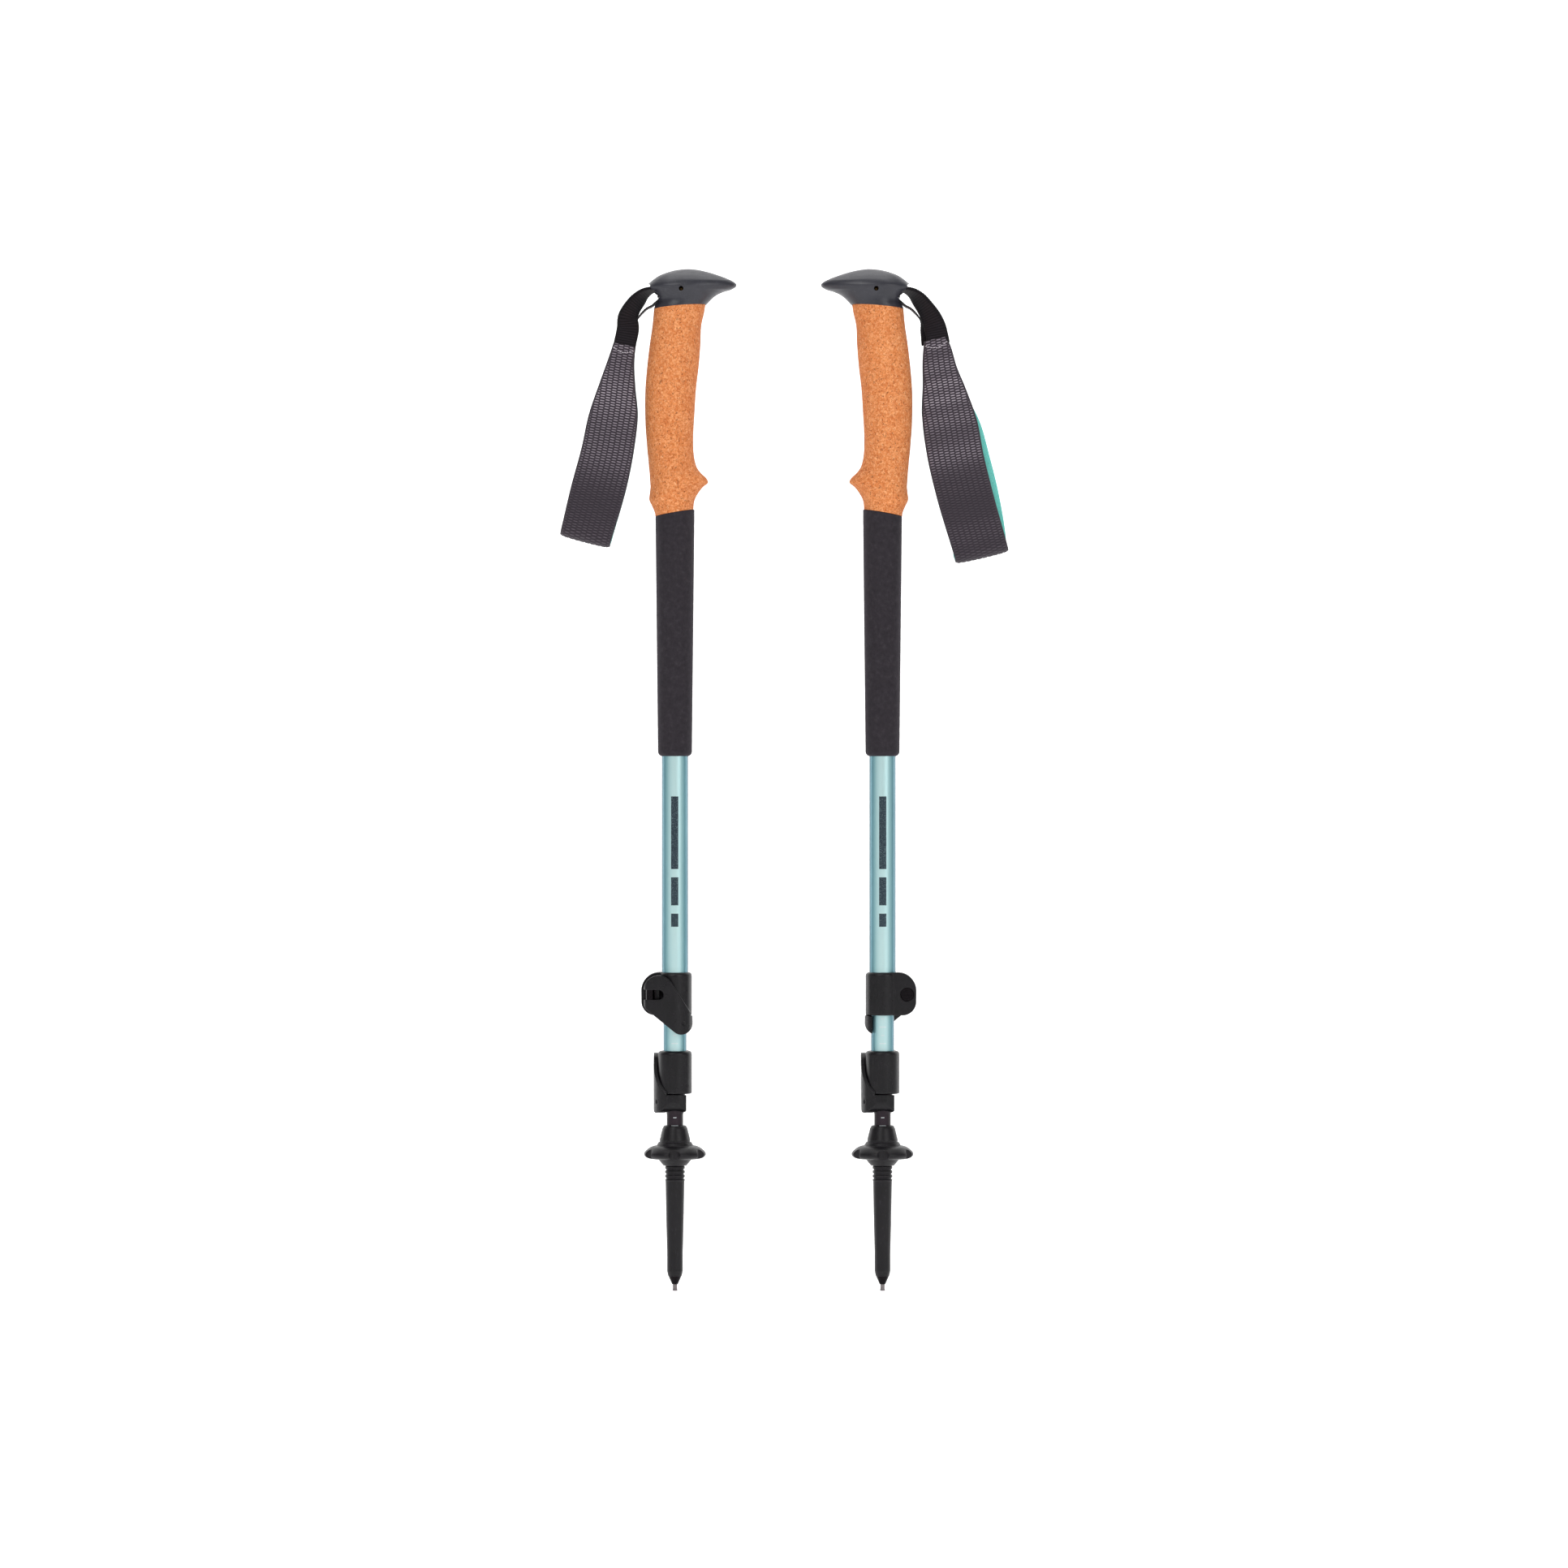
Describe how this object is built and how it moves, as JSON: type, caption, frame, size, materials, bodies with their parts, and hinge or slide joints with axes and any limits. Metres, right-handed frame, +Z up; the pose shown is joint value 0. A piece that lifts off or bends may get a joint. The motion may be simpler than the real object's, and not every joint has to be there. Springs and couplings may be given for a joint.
{
  "type": "trekking poles",
  "caption": "Pair of telescoping trekking poles with lever clamps, cork and foam grips with beaked heads, padded wrist straps, scalloped baskets and hard pointed tips.",
  "frame": {"origin": "centre of the flat end of the left pole's carbide tip, on the ground", "axes": "+Z up along the shafts, +X from the left pole to the right pole and along the left grip's beak, +Y away from a viewer who sees the left pole on the left"},
  "size_m": [0.2739, 0.0388, 0.62],
  "materials": {
    "head_plastic": "fine grained slate grey rubberised plastic",
    "cork": "pressed granulated cork",
    "foam": "matt charcoal closed-cell foam",
    "teal_tube": "pale teal anodised satin",
    "black_tube": "black anodised satin",
    "black_plastic": "near-black glass-filled nylon, fine grain",
    "tip_plastic": "charcoal flexible nylon",
    "white_plastic": "off-white acetal, hidden inside the shafts",
    "steel": "plain stainless",
    "dark_steel": "black oxide",
    "brass": "turned",
    "carbide": "sintered tungsten carbide, dull grey",
    "black_webbing": "ribbed polyester webbing",
    "grey_band": "dobby-woven padded band",
    "teal_lining": "brushed soft lining"
  },
  "bodies": {
    "left_lower": {"left_lower_shaft": "black_tube", "left_flex_tip": "tip_plastic", "left_tip_ferrule": "dark_steel", "left_carbide_tip": "carbide"},
    "left_basket_body": {"left_basket": "tip_plastic"},
    "left_lower_bush_body": {"left_lower_bush": "white_plastic"},
    "left_mid": {"left_mid_shaft": "teal_tube", "left_lower_collar": "black_plastic", "left_lower_washer": "steel", "left_lower_barrel_nut": "brass"},
    "left_lower_lever_body": {"left_lower_lever": "black_plastic"},
    "left_lower_screw_body": {"left_lower_screw": "dark_steel"},
    "left_mid_bush_body": {"left_mid_bush": "white_plastic"},
    "left_handle": {"left_upper_shaft": "teal_tube", "left_upper_collar": "black_plastic", "left_upper_washer": "steel", "left_upper_barrel_nut": "brass", "left_foam_sleeve": "foam", "left_cork_grip": "cork", "left_grip_head": "head_plastic", "left_strap_pin": "brass", "left_strap_wedge": "black_plastic", "left_strap_anchor": "black_webbing"},
    "left_upper_lever_body": {"left_upper_lever": "black_plastic"},
    "left_upper_screw_body": {"left_upper_screw": "dark_steel"},
    "left_strap": {"left_strap_webbing": "black_webbing", "left_strap_band": "grey_band", "left_strap_lining": "teal_lining"},
    "right_lower": {"right_lower_shaft": "black_tube", "right_flex_tip": "tip_plastic", "right_tip_ferrule": "dark_steel", "right_carbide_tip": "carbide"},
    "right_basket_body": {"right_basket": "tip_plastic"},
    "right_lower_bush_body": {"right_lower_bush": "white_plastic"},
    "right_mid": {"right_mid_shaft": "teal_tube", "right_lower_collar": "black_plastic", "right_lower_washer": "steel", "right_lower_barrel_nut": "brass"},
    "right_lower_lever_body": {"right_lower_lever": "black_plastic"},
    "right_lower_screw_body": {"right_lower_screw": "dark_steel"},
    "right_mid_bush_body": {"right_mid_bush": "white_plastic"},
    "right_handle": {"right_upper_shaft": "teal_tube", "right_upper_collar": "black_plastic", "right_upper_washer": "steel", "right_upper_barrel_nut": "brass", "right_foam_sleeve": "foam", "right_cork_grip": "cork", "right_grip_head": "head_plastic", "right_strap_pin": "brass", "right_strap_wedge": "black_plastic", "right_strap_anchor": "black_webbing"},
    "right_upper_lever_body": {"right_upper_lever": "black_plastic"},
    "right_upper_screw_body": {"right_upper_screw": "dark_steel"},
    "right_strap": {"right_strap_webbing": "black_webbing", "right_strap_band": "grey_band", "right_strap_lining": "teal_lining"}
  },
  "joints": [
    {"name": "left_basket_turn", "type": "hinge", "parent": "left_lower", "child": "left_basket_body", "pos_m": [0, 0, 0.083], "axis": [0, 0, 1], "range_deg": [0, 720]},
    {"name": "left_lower_twist", "type": "hinge", "parent": "left_lower", "child": "left_lower_bush_body", "pos_m": [0, 0, 0.56], "axis": [0, 0, 1], "continuous": true},
    {"name": "left_lower_extend", "type": "slide", "parent": "left_lower_bush_body", "child": "left_mid", "axis": [0, 0, 1], "range_m": [0, 0.315]},
    {"name": "left_lower_lever_flip", "type": "hinge", "parent": "left_mid", "child": "left_lower_lever_body", "pos_m": [-0.00915, 0.0148, 0.1323], "axis": [0, 0, -1], "range_deg": [0, 100]},
    {"name": "left_lower_screw_turn", "type": "hinge", "parent": "left_mid", "child": "left_lower_screw_body", "pos_m": [0, 0.0148, 0.1323], "axis": [1, 0, 0], "range_deg": [-360, 360]},
    {"name": "left_upper_twist", "type": "hinge", "parent": "left_mid", "child": "left_mid_bush_body", "pos_m": [0, 0, 0.58], "axis": [0, 0, 1], "continuous": true},
    {"name": "left_upper_extend", "type": "slide", "parent": "left_mid_bush_body", "child": "left_handle", "axis": [0, 0, 1], "range_m": [0, 0.315]},
    {"name": "left_upper_lever_flip", "type": "hinge", "parent": "left_handle", "child": "left_upper_lever_body", "pos_m": [-0.0148, -0.00915, 0.18], "axis": [0, 0, -1], "range_deg": [0, 100]},
    {"name": "left_upper_screw_turn", "type": "hinge", "parent": "left_handle", "child": "left_upper_screw_body", "pos_m": [-0.0148, 0, 0.18], "axis": [0, 1, 0], "range_deg": [-360, 360]},
    {"name": "left_strap_swing", "type": "hinge", "parent": "left_handle", "child": "left_strap", "pos_m": [-0.0155, 0, 0.6063], "axis": [0, 1, 0], "range_deg": [0, 60]},
    {"name": "pair_spacing", "type": "slide", "parent": "left_lower", "child": "right_lower", "axis": [1, 0, 0], "range_m": [0, 0.3]},
    {"name": "right_basket_turn", "type": "hinge", "parent": "right_lower", "child": "right_basket_body", "pos_m": [0.126, 0, 0.083], "axis": [0, 0, 1], "range_deg": [0, 720]},
    {"name": "right_lower_twist", "type": "hinge", "parent": "right_lower", "child": "right_lower_bush_body", "pos_m": [0.126, 0, 0.56], "axis": [0, 0, 1], "continuous": true},
    {"name": "right_lower_extend", "type": "slide", "parent": "right_lower_bush_body", "child": "right_mid", "axis": [0, 0, 1], "range_m": [0, 0.315]},
    {"name": "right_lower_lever_flip", "type": "hinge", "parent": "right_mid", "child": "right_lower_lever_body", "pos_m": [0.11685, 0.0148, 0.1323], "axis": [0, 0, -1], "range_deg": [0, 100]},
    {"name": "right_lower_screw_turn", "type": "hinge", "parent": "right_mid", "child": "right_lower_screw_body", "pos_m": [0.126, 0.0148, 0.1323], "axis": [1, 0, 0], "range_deg": [-360, 360]},
    {"name": "right_upper_twist", "type": "hinge", "parent": "right_mid", "child": "right_mid_bush_body", "pos_m": [0.126, 0, 0.58], "axis": [0, 0, 1], "continuous": true},
    {"name": "right_upper_extend", "type": "slide", "parent": "right_mid_bush_body", "child": "right_handle", "axis": [0, 0, 1], "range_m": [0, 0.315]},
    {"name": "right_upper_lever_flip", "type": "hinge", "parent": "right_handle", "child": "right_upper_lever_body", "pos_m": [0.1408, 0.00915, 0.18], "axis": [0, 0, -1], "range_deg": [0, 100]},
    {"name": "right_upper_screw_turn", "type": "hinge", "parent": "right_handle", "child": "right_upper_screw_body", "pos_m": [0.1408, 0, 0.18], "axis": [0, 1, 0], "range_deg": [-360, 360]},
    {"name": "right_strap_swing", "type": "hinge", "parent": "right_handle", "child": "right_strap", "pos_m": [0.1415, 0, 0.6063], "axis": [0, -1, 0], "range_deg": [0, 60]}
  ]
}
